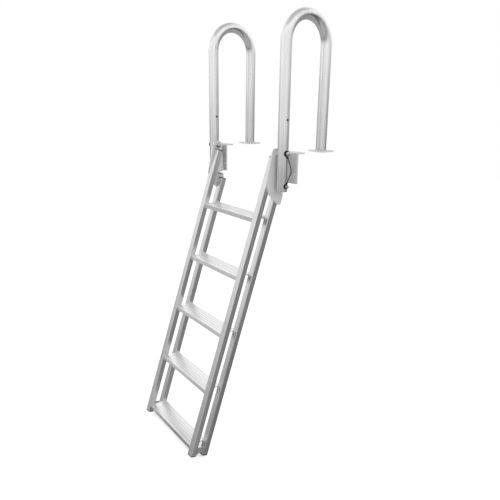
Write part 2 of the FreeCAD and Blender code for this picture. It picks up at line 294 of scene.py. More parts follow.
class LadderDetails(PropertyGroup):
    weld_leg: amount(LENGTH, "Weld leg", "Leg of the fillet welds on plates and tubes", 3.6 * MM)
    tread_weld_leg: amount(LENGTH, "Tread weld leg", "Leg of the welds at the treads", 3.0 * MM)
    ripple_pitch: amount(LENGTH, "Weld ripple", "Distance between two ripples of a weld", 2.6 * MM)
    grip_pitch: amount(LENGTH, "Grip pitch", "Distance between two teeth on a tread", 3.2 * MM)
    grip_height: amount(LENGTH, "Grip height", "Height of the teeth over the tread", 0.04 * MM)
    thread_pitch: amount(LENGTH, "Thread pitch", "Pitch of the pivot bolt's thread", 1.95 * MM)
    cable_diameter: amount(LENGTH, "Lanyard diameter", "Outside diameter of the lanyard", 4.0 * MM)
    eye_thickness: amount(LENGTH, "Eye thickness", "Thickness of the lanyard's eyes", 7.0 * MM)
    cable_lay: amount(LENGTH, "Lanyard lay", "Length of one turn of the wires", 22.0 * MM)
    cable_wires: IntProperty(name="Lanyard strands", description="Strands that show through the vinyl",
                             default=6, min=3, max=12)


class LadderStudio(PropertyGroup):
    key_power: amount(POWER, "Key lamp", "Power of the large lamp left of the ladder", 60.0)
    fill_power: amount(POWER, "Fill lamp", "Power of the lamp right of the ladder", 44.0)
    backdrop: colour_property("Backdrop", "The white that the camera sees behind the ladder", "FFFFFF")
    near_floor: colour_property("Near floor", "Floor left of the ladder, as metal sees it", "BEBEBE")
    far_floor: colour_property("Far floor", "Floor right of the ladder, as metal sees it", "565656")
    floor_in_metal: amount(SHARE, "Floor in metal", "Share of white floor that metal mirrors", 0.05)
    far_horizon: amount(SHARE, "Far horizon", "Backdrop's foot behind the ladder, in metal", 0.36)
    near_horizon: amount(SHARE, "Near horizon", "Backdrop's foot before the ladder, in metal", 0.78)


# Materials

NOISE_LOW, NOISE_HIGH = 0.3, 0.7
# A dark grey mixed into some colours as painted shade: inside the handrail legs and in the tread grooves.
PAINTED_SHADE_GREY = "2E2F30"
UPRIGHT = (0, 0, 0)
ALONG_RAIL = (-LEAN, 0, 0)
ALONG_X = (0, math.pi / 2, 0)


def add_node(tree, kind, inputs=(), **settings):
    """Adds a shader node, sets its properties, and sets or links its inputs.

    The inputs go by name, or in the order in which they stand on the node. Each is a value, a
    socket, or another node, of which the first output is linked.
    """
    node = tree.nodes.new(f"ShaderNode{kind}")
    for name, value in settings.items():
        setattr(node, name, value)
    for name, value in inputs.items() if isinstance(inputs, dict) else enumerate(inputs):
        if isinstance(value, Node):
            value = value.outputs[0]
        if isinstance(value, NodeSocket):
            tree.links.new(value, node.inputs[name])
        else:
            node.inputs[name].default_value = value
    return node


def start_material(name):
    """An empty material, and the node tree to build in."""
    material = bpy.data.materials.new(name)
    material.use_nodes = True
    material.node_tree.nodes.clear()
    return material, material.node_tree


def pattern(tree, per_metre, detail, turn=UPRIGHT):
    """Noise that lies along a piece: its own coordinates, turned, and repeated so many times to
    the metre along each axis."""
    place = add_node(tree, "TexCoord").outputs["Object"]
    lie = add_node(tree, "Mapping", {"Vector": place, "Rotation": turn, "Scale": per_metre})
    return add_node(tree, "TexNoise", {"Vector": lie, "Scale": 1.0, "Detail": detail})


def finish(material, colour, tone, shades, rough, strength, depth, relief=None, painted_shade=None, **constants):
    """The surface, shaded and roughened by one pattern and raised by it or by another.

    Over the stretch where most of a noise lies, the colour goes from its darkest to its brightest share, and
    the roughness from its lowest to its highest. Values that are the same all over are set on the surface's
    own sockets. A painted shade mask mixes a dark grey into the colour as painted shade.
    """
    tree = material.node_tree
    shade = add_node(tree, "ValToRGB", (tone,))
    for stop, place, share in zip(shade.color_ramp.elements, (NOISE_LOW, NOISE_HIGH), shades):
        stop.position = place
        stop.color = (*(part * share for part in colour), 1)
    # Painted shade: the dark grey is mixed in where the mask is one.
    if painted_shade:
        shade = add_node(tree, "MixRGB", (painted_shade(tree), shade, (*linear(PAINTED_SHADE_GREY), 1)))
    roughness = add_node(tree, "MapRange", (tone, NOISE_LOW, NOISE_HIGH, *rough))
    bump = add_node(tree, "Bump", {"Height": relief or tone, "Strength": strength, "Distance": depth})
    surface = add_node(tree, "BsdfPrincipled",
                       {"Base Color": shade, "Roughness": roughness, "Normal": bump, **constants})
    add_node(tree, "OutputMaterial", (surface,))
    return material


def drawn_metal(name, colour, turn, spacing, length, depth, rough, darkest=0.86, metallic=1.0, painted_shade=None):
    """Metal with fine lines along the way it was drawn, rolled or turned.

    The lines are noise squeezed to their spacing across the metal and stretched to their length
    along it. Clouds as large as a hand, 12 to the metre across the metal and 5 along it, share
    the shading with them. A surface under a matt skin of oxide is less than fully metallic.
    """
    line_share = 0.55
    material, tree = start_material(name)
    lines = pattern(tree, (1 / spacing, 1 / spacing, 1 / length), detail=2.0, turn=turn)
    clouds = pattern(tree, (12.0, 12.0, 5.0), detail=4.0, turn=turn)
    tone = add_node(tree, "Mix", {"Factor": line_share, "A": clouds, "B": lines}, data_type="FLOAT")
    # A painted shade mask, where given, darkens the colour as painted shade.
    return finish(material, colour, tone, shades=(darkest, 1.0), rough=rough, strength=0.25, depth=depth,
                  relief=lines, painted_shade=painted_shade, Metallic=metallic)


def leg_bore_shade(tree):
    """Painted shade in the bores of the handrails' straight legs: one inside them and nothing elsewhere.

    The four legs mirror each other about the middle between them. So a place is taken from
    there, on the level and without its sign. It is inside where its distance from one leg's
    centre line is less than the tube's radius less half its wall.
    """
    bend_height = 0.45
    half_x, half_y = MIDDLE_X, LEG_Y / 2
    place = add_node(tree, "TexCoord").outputs["Object"]
    height = add_node(tree, "SeparateXYZ", (place,)).outputs["Z"]
    for operation, vector in (("SUBTRACT", (half_x, half_y, 0.0)), ("MULTIPLY", (1.0, 1.0, 0.0)),
                              ("ABSOLUTE", (0.0, 0.0, 0.0)), ("DISTANCE", (abs(half_x), abs(half_y), 0.0))):
        place = add_node(tree, "VectorMath", (place, vector), operation=operation)
    off_axis = place.outputs["Value"]
    inside = add_node(tree, "Math", (off_axis, HANDRAIL_RADIUS - HANDRAIL_WALL / 2), operation="LESS_THAN")
    below = add_node(tree, "Math", (height, bend_height), operation="LESS_THAN")
    return add_node(tree, "Math", (inside, below), operation="MULTIPLY")


def groove_shade(tree):
    """Painted shade in the treads' grooves: dark on their walls, a little grey on their floors.

    The treads are evenly spaced, so the depth below a tread's top is what is left of the depth
    below the highest top, divided by the spacing.
    """
    above, reach = 1 * MM, 4 * MM
    wall_start, floor_start, floor_end = 0.30, 0.55, 0.8
    groove_wall_shade, groove_floor_shade = 0.34, 0.12
    highest = box_of("step_1")[1][2]
    spacing = highest - box_of("step_2")[1][2]
    place = add_node(tree, "TexCoord").outputs["Object"]
    height = add_node(tree, "SeparateXYZ", (place,)).outputs["Z"]
    depth = add_node(tree, "Math", (highest + above, height), operation="SUBTRACT")
    own_depth = add_node(tree, "Math", (depth, spacing), operation="MODULO")
    share = add_node(tree, "Math", (own_depth, 1 / reach), operation="MULTIPLY")
    ramp = add_node(tree, "ValToRGB", (share,))
    ramp.color_ramp.interpolation = "CONSTANT"
    stops = ramp.color_ramp.elements
    stops.remove(stops[1])
    stops[0].color = (0, 0, 0, 1)
    for start, shade_share in ((wall_start, groove_wall_shade), (floor_start, groove_floor_shade), (floor_end, 0.0)):
        stops.new(start).color = (shade_share, shade_share, shade_share, 1)
    return ramp


def anodised_tube(finishes):
    """Satin anodised tube, an even grey sheen. The draw lines are really under 0.1 mm apart and
    are drawn 4.5 mm apart so that they show."""
    # The bores of the straight legs are darkened as painted shade.
    return drawn_metal("satin_anodised_drawn_tube", finishes.handrail, UPRIGHT, spacing=4.5 * MM,
                       length=400 * MM, depth=0.12 * MM, rough=(0.15, 0.24), darkest=0.72, painted_shade=leg_bore_shade)


def extruded_rail(finishes):
    """Mill-finish extrusion, streaked by die lines along the tube. They are really about 0.2 mm
    apart and are drawn 4 mm apart so that they show."""
    return drawn_metal("mill_finish_rail_extrusion", finishes.rail, ALONG_RAIL, spacing=4.0 * MM,
                       length=500 * MM, depth=0.12 * MM, rough=(0.26, 0.38))


def extruded_tread(finishes):
    """Mill-finish tread extrusion: paler than the rails, with die lines from rail to rail, as
    fine as the rails' and drawn 2.5 mm apart."""
    # The treads' grooves are darkened as painted shade.
    return drawn_metal("mill_finish_tread_extrusion", finishes.tread, ALONG_X, spacing=2.5 * MM,
                       length=160 * MM, depth=0.05 * MM, rough=(0.24, 0.34), darkest=0.93,
                       painted_shade=groove_shade)


def rolled_plate(finishes, name, turn, rough=(0.50, 0.62), metallic=0.5):
    """Rolled aluminium plate, cut and left plain: a cloudy grey with a faint rolling grain, under
    a matt skin of oxide. The grain is really about 0.1 mm apart and is drawn 2 mm apart."""
    return drawn_metal(name, finishes.plate, turn, spacing=2.0 * MM, length=60 * MM, depth=0.05 * MM,
                       rough=rough, metallic=metallic)


def stainless_steel(finishes):
    """Plain stainless bolts: warmer and darker than aluminium, with turning marks across. The
    marks are really about 0.1 mm apart and are drawn 0.8 mm apart."""
    return drawn_metal("turned_stainless_steel", finishes.steel, ALONG_X, spacing=0.8 * MM,
                       length=12 * MM, depth=0.03 * MM, rough=(0.22, 0.34))


def weld_metal(finishes):
    """Aluminium weld as laid: bright ripple tops in a frosty skin. Its grey is darker than the tube beside
    it, partly as duller weld metal and partly as painted shade in the corners where the beads lie. The frost
    is drawn in grains of 2.5 mm, 400 to the metre."""
    material, tree = start_material("aluminium_weld_as_laid")
    grain = pattern(tree, (400.0, 400.0, 400.0), detail=3.0)
    return finish(material, finishes.weld, grain, shades=(0.78, 1.0), rough=(0.35, 0.55),
                  strength=0.3, depth=0.2 * MM, Metallic=1.0)


def natural_nylon(finishes):
    """Turned natural nylon: a waxy off-white that lets a little light in, with marks 0.8 mm
    apart along the bolt and as long as 11 mm round it."""
    material, tree = start_material("turned_natural_nylon")
    marks = pattern(tree, (1 / (0.8 * MM), 90.0, 90.0), detail=2.0)
    return finish(material, finishes.nylon, marks, shades=(0.9, 1.0), rough=(0.38, 0.5),
                  strength=0.2, depth=0.05 * MM, **{"IOR": 1.53, "Subsurface Weight": 0.08,
                                                    "Subsurface Scale": 2 * MM})


def moulded_cap(finishes):
    """Moulded black polyethylene: soft sheen, a fine spark-eroded grain and pale scuffs from 17
    to 40 mm long. The grain is really about 0.1 mm and is drawn at 0.5 mm."""
    material, tree = start_material("moulded_black_polyethylene")
    grain = pattern(tree, (1 / (0.5 * MM),) * 3, detail=2.0)
    scuffs = pattern(tree, (60.0, 60.0, 25.0), detail=5.0)
    return finish(material, finishes.cap, scuffs, shades=(0.52, 1.3), rough=(0.66, 0.84),
                  strength=0.35, depth=0.1 * MM, relief=grain, **{"IOR": 1.51, "Specular IOR Level": 0.2})


def coated_cable(finishes):
    """Black vinyl over wire rope: smooth and a little glossy, with dust in pits about 2 mm
    apart, 500 to the metre."""
    material, tree = start_material("black_vinyl_coated_cable")
    pits = pattern(tree, (500.0, 500.0, 500.0), detail=3.0)
    return finish(material, finishes.cable, pits, shades=(0.75, 1.5), rough=(0.38, 0.54),
                  strength=0.15, depth=0.05 * MM, **{"IOR": 1.53, "Specular IOR Level": 0.3})


# Lanyards. The route is the right side's, from the pivot's eye down to the lock pin's eye.

LANYARD_ROUTE = np.array([
    (27.35, -223.165, -19.801),
    (27.35, -215.983, -39.534),
    (32.35, -209.6, -60.5),
    (33.35, -208.6, -83.0),
    (27.35, -217.522, -102.694),
    (27.35, -224.362, -121.488),
]) * MM
TOP_EYE_RADIUS = 11.2 * MM
PIN_EYE_RADIUS = 7.7 * MM
EYE_ANGLE = math.radians(20.0)
SLEEVE_RADIUS = 3.0 * MM
SLEEVE_LENGTH = 11.0 * MM


def route_line(name, route):
    """The smooth line of a lanyard: points of one open spline that the route's points steer."""
    curve = bpy.data.curves.new(name, "CURVE")
    curve.dimensions = "3D"
    spline = curve.splines.new("NURBS")
    spline.points.add(len(route) - 1)
    spline.points.foreach_set("co", np.hstack([route, np.ones((len(route), 1))]).ravel())
    spline.order_u = 3
    spline.use_endpoint_u = True
    spline.resolution_u = 24
    holder = bpy.data.objects.new(name, curve)
    line = bpy.data.meshes.new_from_object(holder)
    points = np.zeros(len(line.vertices) * 3)
    line.vertices.foreach_get("co", points)
    bpy.data.objects.remove(holder)
    bpy.data.curves.remove(curve)
    bpy.data.meshes.remove(line)
    return points.reshape(-1, 3)


def cable_rings(points, diameter, details, loop=False):
    """Rings of a coated cable round a line.

    Every ring lies across the line, on two directions found from the line and the X axis. Its
    radius is half the diameter less a small share of the strand waves: the cosine of the number
    of strands times the angle round the cable plus the turns that the lay has made there.
    """
    wave_share = 0.025
    tangent = np.gradient(points, axis=0)
    if loop:
        tangent = np.roll(points, -1, 0) - np.roll(points, 1, 0)
    tangent /= np.linalg.norm(tangent, axis=1, keepdims=True)
    side = np.cross(tangent, OUTBOARD)
    side /= np.linalg.norm(side, axis=1, keepdims=True)
    other = np.cross(tangent, side)
    step = np.linalg.norm(np.diff(points, axis=0, append=points[:1] if loop else points[-1:]), axis=1)
    reach = np.cumsum(step) - step
    lay = details.cable_lay
    if loop:
        lay = step.sum() / max(1, round(step.sum() / lay))
    angle = round_angles(24)
    wave = np.cos(details.cable_wires * (angle[None, :] + 2 * math.pi * reach[:, None] / lay))
    radius = diameter / 2 * (1 - wave_share + wave_share * wave)
    return rings_round(points, radius, angle, side, other)


def sleeve_skin(start, direction):
    """A crimped sleeve: a tube whose radius falls off steeply at both ends and in two bell-shaped
    dips, where it is also pinched a little flat."""
    crimp_depth, crimp_width, pinch = 0.10, 0.07, 0.12
    share = np.linspace(0, 1, 40)
    ends = np.sqrt(np.clip(1 - (2 * np.abs(share - 0.5)) ** 10, 0.25, 1))
    dips = crimp_depth * sum(np.exp(-((share - middle) / crimp_width) ** 2) for middle in (0.32, 0.68))
    angle = round_angles(32)
    flat = 1 - pinch * dips[:, None] / dips.max() * np.cos(2 * angle)[None, :]
    radius = (SLEEVE_RADIUS * (ends - dips))[:, None] * flat
    middles = start + share[:, None] * SLEEVE_LENGTH * direction
    upright = np.cross(direction, OUTBOARD)
    return closed_skin(rings_round(middles, radius, angle, OUTBOARD[None], upright[None]))


def eye_skins(centre, ring_radius, direction, details):
    """A cable ring round a shank and the crimped sleeve that closes it."""
    sleeve_gap = 1 * MM
    turn = round_angles(120)
    ring = centre + ring_radius * np.stack([np.zeros(120), np.cos(turn), np.sin(turn)], -1)
    return [closed_skin(cable_rings(ring, details.eye_thickness, details, loop=True), loop=True),
            sleeve_skin(centre + direction * (ring_radius + sleeve_gap), direction)]


class DOCKLADDER_OT_lanyards(Operator):
    """Hangs the two lanyards that hold the lock pins to the pivot bolts"""
    bl_idname = "dockladder.lanyards"
    bl_label = "Lanyards"

    def execute(self, context):
        details = context.scene.ladder_details
        material = coated_cable(context.scene.ladder_finishes)
        eyes = []
        for name, stands_for, height, ring_radius, up in (
                ("pivot_cable_eye", "lanyard_top_eye", PIVOT[2], TOP_EYE_RADIUS, -1),
                ("pin_cable_eye", "lanyard_pin_eye", middle_of("right_lock_pin")[2], PIN_EYE_RADIUS, 1)):
            centre = np.array([LANYARD_ROUTE[0][0], LEG_Y, height])
            direction = np.array([0, math.sin(EYE_ANGLE), up * math.cos(EYE_ANGLE)])
            skins = eye_skins(centre, ring_radius, direction, details)
            eyes.append(add_pair(name, skins, material, "dock_frame", [stands_for]))
        for side, top_eye, pin_eye in zip(SIDES, *eyes):
            route = LANYARD_ROUTE.copy()
            if side == "left":
                route[:, 0] = 2 * MIDDLE_X - route[:, 0]
            line = route_line(f"{side}_route", route)
            skins = [closed_skin(cable_rings(line, details.cable_diameter, details))]
            cable = add_piece(f"{side}_cable", skins, material, "dock_frame",
                              [f"{side}_lanyard"])
        return {"FINISHED"}


# Finishes on the ladder's own nodes

class DOCKLADDER_OT_finishes(Operator):
    """Gives tubes, treads, plates, spacers and caps their finishes"""
    bl_idname = "dockladder.finishes"
    bl_label = "Finishes"

    def execute(self, context):
        finishes = context.scene.ladder_finishes
        # The skin of oxide is thickest on the dock's plates, and feet rub the foot plates bright.
        skinned = rolled_plate(finishes, "rolled_plate_level", ALONG_X, metallic=0.35)
        rubbed = rolled_plate(finishes, "rolled_plate_bright", ALONG_RAIL, rough=(0.30, 0.42), metallic=1.0)
        worn_by = (
            (anodised_tube(finishes), ["handrail"]),
            (extruded_rail(finishes), ["front_rail", "rear_rail"]),
            (rolled_plate(finishes, "rolled_plate_upright", ALONG_RAIL), ["swing_plate"]),
            (rubbed, ["foot_plate"]),
            (skinned, ["base_plate", "dock_bracket"]),
            (moulded_cap(finishes), ["front_foot_cap", "rear_foot_cap", "front_top_cap", "rear_top_cap"]),
            (natural_nylon(finishes), ["pivot_spacer"]),
            (stainless_steel(finishes), ["pivot_collar"]),
        )
        for material, names in worn_by:
            self.dress(material, [f"{side}_{name}" for name in names for side in SIDES])
        self.dress(extruded_tread(finishes), STEPS)
        return {"FINISHED"}

    def dress(self, material, nodes):
        """Gives nodes of the ladder their material."""
        for node in nodes:
            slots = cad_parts[node].data.materials
            slots.clear()
            slots.append(material)


# Bolts, nuts and pins

class DOCKLADDER_OT_fasteners(Operator):
    """Makes the pivot bolts, their nuts and washers, and the lock pins"""
    bl_idname = "dockladder.fasteners"
    bl_label = "Bolts, nuts and lock pins"

    flats = 19.0 * MM
    head_height = 8.0 * MM
    nut_collar = 2.6 * MM
    washer_thickness = 2.5 * MM
    shank_radius = 6.35 * MM
    thread_depth = 1.0 * MM
    chamfer_slope = math.tan(math.radians(30))

    def head(self, start, centre):
        """A hexagon head: the flats cut by a 30 degree cone at the top, over a round face."""
        face_end, hexagon_start, top = start + 0.5 * MM, start + 0.6 * MM, start + self.head_height
        face_radius, cone_radius = 0.475 * self.flats, 0.46 * self.flats
        stations = np.concatenate([[start, face_end], np.linspace(hexagon_start, top, 24)])

        def radius(number, turn):
            x = stations[number]
            body = np.minimum(hexagon(self.flats, turn), cone_radius + (top - x) / self.chamfer_slope)
            return np.where(x < hexagon_start, face_radius, body)

        return turned(stations, radius, centre)

    def shank(self, tip, end, thread_end, centre, pitch):
        """A rod whose end carries a thread: its radius dips once a pitch, turning as it goes."""
        run_out, bevel_length, bevel_slope = 0.5 * MM, 1.2 * MM, 0.8
        stations = np.concatenate([np.linspace(tip, thread_end, 90), [thread_end + run_out, end]])

        def radius(number, turn):
            x = stations[number]
            wave = 2 * np.abs(np.mod(x / pitch - turn / (2 * math.pi), 1) - 0.5)
            fade = np.clip((thread_end - x) / pitch, 0, 1)
            bevel = np.clip(bevel_length - (x - tip), 0, None)
            return self.shank_radius - self.thread_depth * wave * fade - bevel_slope * bevel

        return turned(stations, radius, centre)

    def nut(self, start, end, centre):
        """A hexagon nut with both ends chamfered and a round collar that holds its insert."""
        collar_radius, dome_rise, cone_radius = 0.36 * self.flats, 1.8 * MM, 0.47 * self.flats
        collar = start + self.nut_collar
        stations = np.concatenate([np.linspace(start, collar, 10), np.linspace(collar + 0.05 * MM, end, 24)])

        def radius(number, turn):
            x = stations[number]
            to_end = np.minimum(x - collar, end - x) / self.chamfer_slope
            body = np.minimum(hexagon(self.flats, turn), cone_radius + to_end)
            round_off = np.sqrt(np.clip(1 - ((collar - x) / self.nut_collar) ** 2, 0, 1))
            return np.where(x <= collar, collar_radius + dome_rise * round_off, body)

        return turned(stations, radius, centre)

    def washer(self, start, end, centre, outer):
        """A washer with rounded rims."""
        rim = 0.4 * MM
        outline = (corner_arc(start + rim, outer - rim, rim, 180, 90)
                   + corner_arc(end - rim, outer - rim, rim, 90, 0))
        return turned_outline([(start, outer - 2 * rim)] + outline + [(end, outer - 2 * rim)], centre)

    def lock_pin(self, low, high, centre):
        """A pin with a rounded tip and two spring balls, and a knob whose radius dips at each flute."""
        radius, tip = 4.75 * MM, 2.5 * MM
        knob, knob_length, soft, edge = 7.15 * MM, 8.0 * MM, 1.4 * MM, 0.6 * MM
        flutes, flute_depth = 30, 0.25 * MM
        ball, ball_sunk, ball_place = 1.9 * MM, 0.9 * MM, 7.5 * MM
        neck = high - knob_length
        outline = corner_arc(low + tip, radius - tip, tip, 180, 90, 10) + [(neck, radius)]
        shank = turned_outline([(low, 0.3 * (radius - tip))] + outline, centre)
        rim = (corner_arc(neck + edge, knob - edge, edge, 180, 90)
               + [(x, knob) for x in np.linspace(neck + 1.0 * MM, high - soft - 0.4 * MM, 12)]
               + corner_arc(high - soft, knob - soft, soft, 90, 0, 10))
        dished_end = [(high, 0.45 * knob), (high - 0.5 * MM, 0.4 * knob)]
        profile = np.array([(neck, 0.7 * knob)] + rim + dished_end)
        fluted = (profile[:, 0] > neck + 0.9 * MM) & (profile[:, 0] < high - soft)

        def grip(number, turn):
            cut = flute_depth * (np.cos(flutes * turn) - 1) / 2
            return profile[number, 1] + np.where(fluted[number], cut, 0)

        skins = [shank, turned(profile[:, 0], grip, centre, 180)]
        off = radius - ball_sunk
        across = np.linspace(0, math.pi, 14)
        for turn in (0.5 * math.pi, 1.5 * math.pi):
            place = (low + ball_place, centre[1] + off * math.cos(turn), centre[2] + off * math.sin(turn))
            skins.append(turned(place[0] - ball * np.cos(across),
                                lambda number, angle: ball * np.sin(across)[number], place, 28))
        return skins

    def execute(self, context):
        details = context.scene.ladder_details
        steel = bpy.data.materials["turned_stainless_steel"]
        overlap = 1 * MM
        low, high = box_of("right_pivot_bolt")
        nut_low, nut_high = box_of("right_pivot_nut")
        centre = middle_of("right_pivot_bolt")
        head_start = high[0] - self.head_height
        bolt = [self.head(head_start, centre),
                self.shank(low[0], head_start + overlap, nut_low[0] + overlap, centre, details.thread_pitch)]
        add_pair("bolt", bolt, steel, "dock_frame", ["pivot_bolt"])
        washer_start = nut_high[0] - self.washer_thickness
        nut = [self.nut(nut_low[0], washer_start, centre),
               self.washer(washer_start, nut_high[0], centre, (nut_high - nut_low)[2] / 2)]
        add_pair("nut_and_washer", nut, steel, "dock_frame", ["pivot_nut"])
        pin_low, pin_high = box_of("right_lock_pin")
        add_pair("pin", self.lock_pin(pin_low[0], pin_high[0], middle_of("right_lock_pin")),
                 steel, "dock_frame", ["lock_pin"])
        return {"FINISHED"}


# Welds

class DOCKLADDER_OT_welds(Operator):
    """Lays the welds of the handrails, the ladder's plates and the treads"""
    bl_idname = "dockladder.welds"
    bl_label = "Welds"

    def execute(self, context):
        details = context.scene.ladder_details
        metal = weld_metal(context.scene.ladder_finishes)
        add_pair("handrail_welds", self.handrail_welds(details), metal, "dock_frame")
        add_pair("plate_welds", self.plate_welds(details), metal, "swing_ladder")
        add_pair("tread_welds", self.tread_welds(details), metal, "swing_ladder")
        return {"FINISHED"}

    def handrail_welds(self, details):
        """Beads round the rear leg on its base plate, and down both edges of the bracket's web."""
        half_web, leg_to_bracket, web_margin = 6.35 * MM / 2, 40.6 * MM, 8 * MM
        leg, pitch = details.weld_leg, details.ripple_pitch
        turn = np.linspace(0, 2 * math.pi, 121)
        outwards = np.stack([np.cos(turn), np.sin(turn), np.zeros(121)], -1)
        ring = HANDRAIL_RADIUS * outwards + box_of("right_base_plate")[1][2] * UPWARD
        skins = [weld_bead(ring, UPWARD, outwards, leg, pitch)]
        leg_face = LEG_Y + math.sqrt(HANDRAIL_RADIUS ** 2 - half_web ** 2)
        web_low, web_high = box_of("right_dock_bracket")[0][2] + web_margin, -web_margin
        for sideways in (-1, 1):
            x = sideways * half_web
            for face, away in ((leg_face, DOCKWARD), (LEG_Y + leg_to_bracket, -DOCKWARD)):
                skins.append(weld_bead([(x, face, web_low), (x, face, web_high)],
                                       away, sideways * OUTBOARD, leg, pitch))
        return skins

    def plate_welds(self, details):
        """Beads down the edges of the side tubes, on the swing plate and on the foot plate."""
        leg, foot_leg, pitch = details.weld_leg, 3 * MM, details.ripple_pitch
        front_face, gap_front = -SIDE_TUBE_DEPTH / 2, SIDE_TUBE_DEPTH / 2
        gap_rear = SIDE_FRAME_DEPTH - 1.5 * SIDE_TUBE_DEPTH
        rear_face = gap_rear + SIDE_TUBE_DEPTH
        foot_inner = box_of("right_foot_plate")[0][0]
        foot_depth = PIVOT[2] - box_of("right_front_foot_cap")[0][2]
        foot = (foot_depth - 0.5 * SIDE_TUBE_DEPTH * math.sin(LEAN)) / math.cos(LEAN)
        foot_start, foot_end = foot - 44 * MM, foot - 12 * MM
        # Each bead's X, its place across the rail, the way it faces, its leg, and its start and
        # end down the rail from the pivot
        beads = (
            (RAIL_OUT, front_face, -ACROSS, leg, 38 * MM, 128 * MM),
            (RAIL_OUT, gap_front, ACROSS, leg, 34 * MM, 188 * MM),
            (RAIL_OUT, gap_rear, -ACROSS, leg, 160 * MM, 206 * MM),
            (RAIL_OUT, rear_face, ACROSS, leg, 160 * MM, 186 * MM),
            (foot_inner, gap_front, ACROSS, foot_leg, foot_start, foot_end),
            (foot_inner, gap_rear, -ACROSS, foot_leg, foot_start, foot_end),
        )
        return [weld_bead([rail_point(x, across, start), rail_point(x, across, end)],
                          away, INBOARD, own_leg, pitch)
                for x, across, away, own_leg, start, end in beads]

    def tread_welds(self, details):
        """Beads up the front and rear flange of every tread and under its top, at one rail."""
        flange_foot, flange_top, under_top, flange_wall = 1 * MM, 3.5 * MM, 3.6 * MM, 3.0 * MM
        front_run, rear_run = 26 * MM, 24 * MM
        leg, pitch = details.tread_weld_leg, details.ripple_pitch
        skins = []
        for name in STEPS:
            low, high = box_of(name)
            x, front, rear, under = high[0], low[1], high[1], high[2] - under_top
            for y, away in ((front, -DOCKWARD), (rear, DOCKWARD)):
                skins.append(weld_bead([(x, y, low[2] + flange_foot), (x, y, high[2] - flange_top)],
                                       away, INBOARD, leg, pitch))
            for start, end in ((front + flange_wall, front + front_run),
                               (rear - rear_run, rear - flange_wall)):
                skins.append(weld_bead([(x, start, under), (x, end, under)], -UPWARD, INBOARD, leg, pitch))
        return skins


# Grip teeth on the treads

class DOCKLADDER_OT_tread_grip(Operator):
    """Rolls the cross teeth onto the ribs of every tread"""
    bl_idname = "dockladder.tread_grip"
    bl_label = "Tread grip"

    def execute(self, context):
        details = context.scene.ladder_details
        metal = bpy.data.materials["mill_finish_tread_extrusion"]
        for name in STEPS:
            add_piece(f"{name}_grip", self.ribs(name, details), metal, "swing_ladder")
        return {"FINISHED"}

    def ribs(self, name, details):
        """The toothed skin over each rib between two grooves.

        Along the rib the height is a cosine of the place over the tooth pitch, raised by four
        tenths and cut off at nothing and at one. Across the rib it falls away to the rib's
        edges along a flattened arch. The skin starts a hair below the tread's top.
        """
        edge_margin, groove_width, grooves, round_edge = 8.0 * MM, 8.0 * MM, 5, 3.0 * MM
        raised, steps_per_tooth = 0.4, 6
        end_margin, side_margin, sunk, root = 2 * MM, 0.2 * MM, 0.01 * MM, 0.8 * MM
        low, high = box_of(name)
        pitch = (high[1] - low[1] - 2 * edge_margin) / grooves
        first_groove = edge_margin + (pitch - groove_width) / 2
        outer_width = first_groove - round_edge
        centres = [low[1] + round_edge + outer_width / 2, high[1] - round_edge - outer_width / 2]
        centres += list(low[1] + edge_margin + pitch * np.arange(1, grooves))
        widths = [outer_width] * 2 + [pitch - groove_width] * (grooves - 1)
        start, end = low[0] + end_margin, high[0] - end_margin
        count = int((end - start) / details.grip_pitch * steps_per_tooth)
        x = np.linspace(start, end, count)
        tooth = np.clip(np.cos(2 * math.pi * (x - start) / details.grip_pitch) + raised, 0, 1)
        skins = []
        for centre, width in zip(centres, widths):
            half = width / 2 - side_margin
            across = np.linspace(-half, half, 7)
            arch = 1 - (np.abs(across) / half) ** 6
            top = high[2] - sunk + details.grip_height * tooth[:, None] * arch[None, :]
            upper = np.stack([np.broadcast_to(x[:, None], top.shape),
                              np.broadcast_to(centre + across, top.shape), top], -1)
            bottom = np.full(count, high[2] - root)
            under = np.stack([np.stack([x, np.full(count, centre + offset), bottom], -1)
                              for offset in (half, -half)], 1)
            skins.append(closed_skin(np.concatenate([upper, under], 1)))
        return skins


# Studio

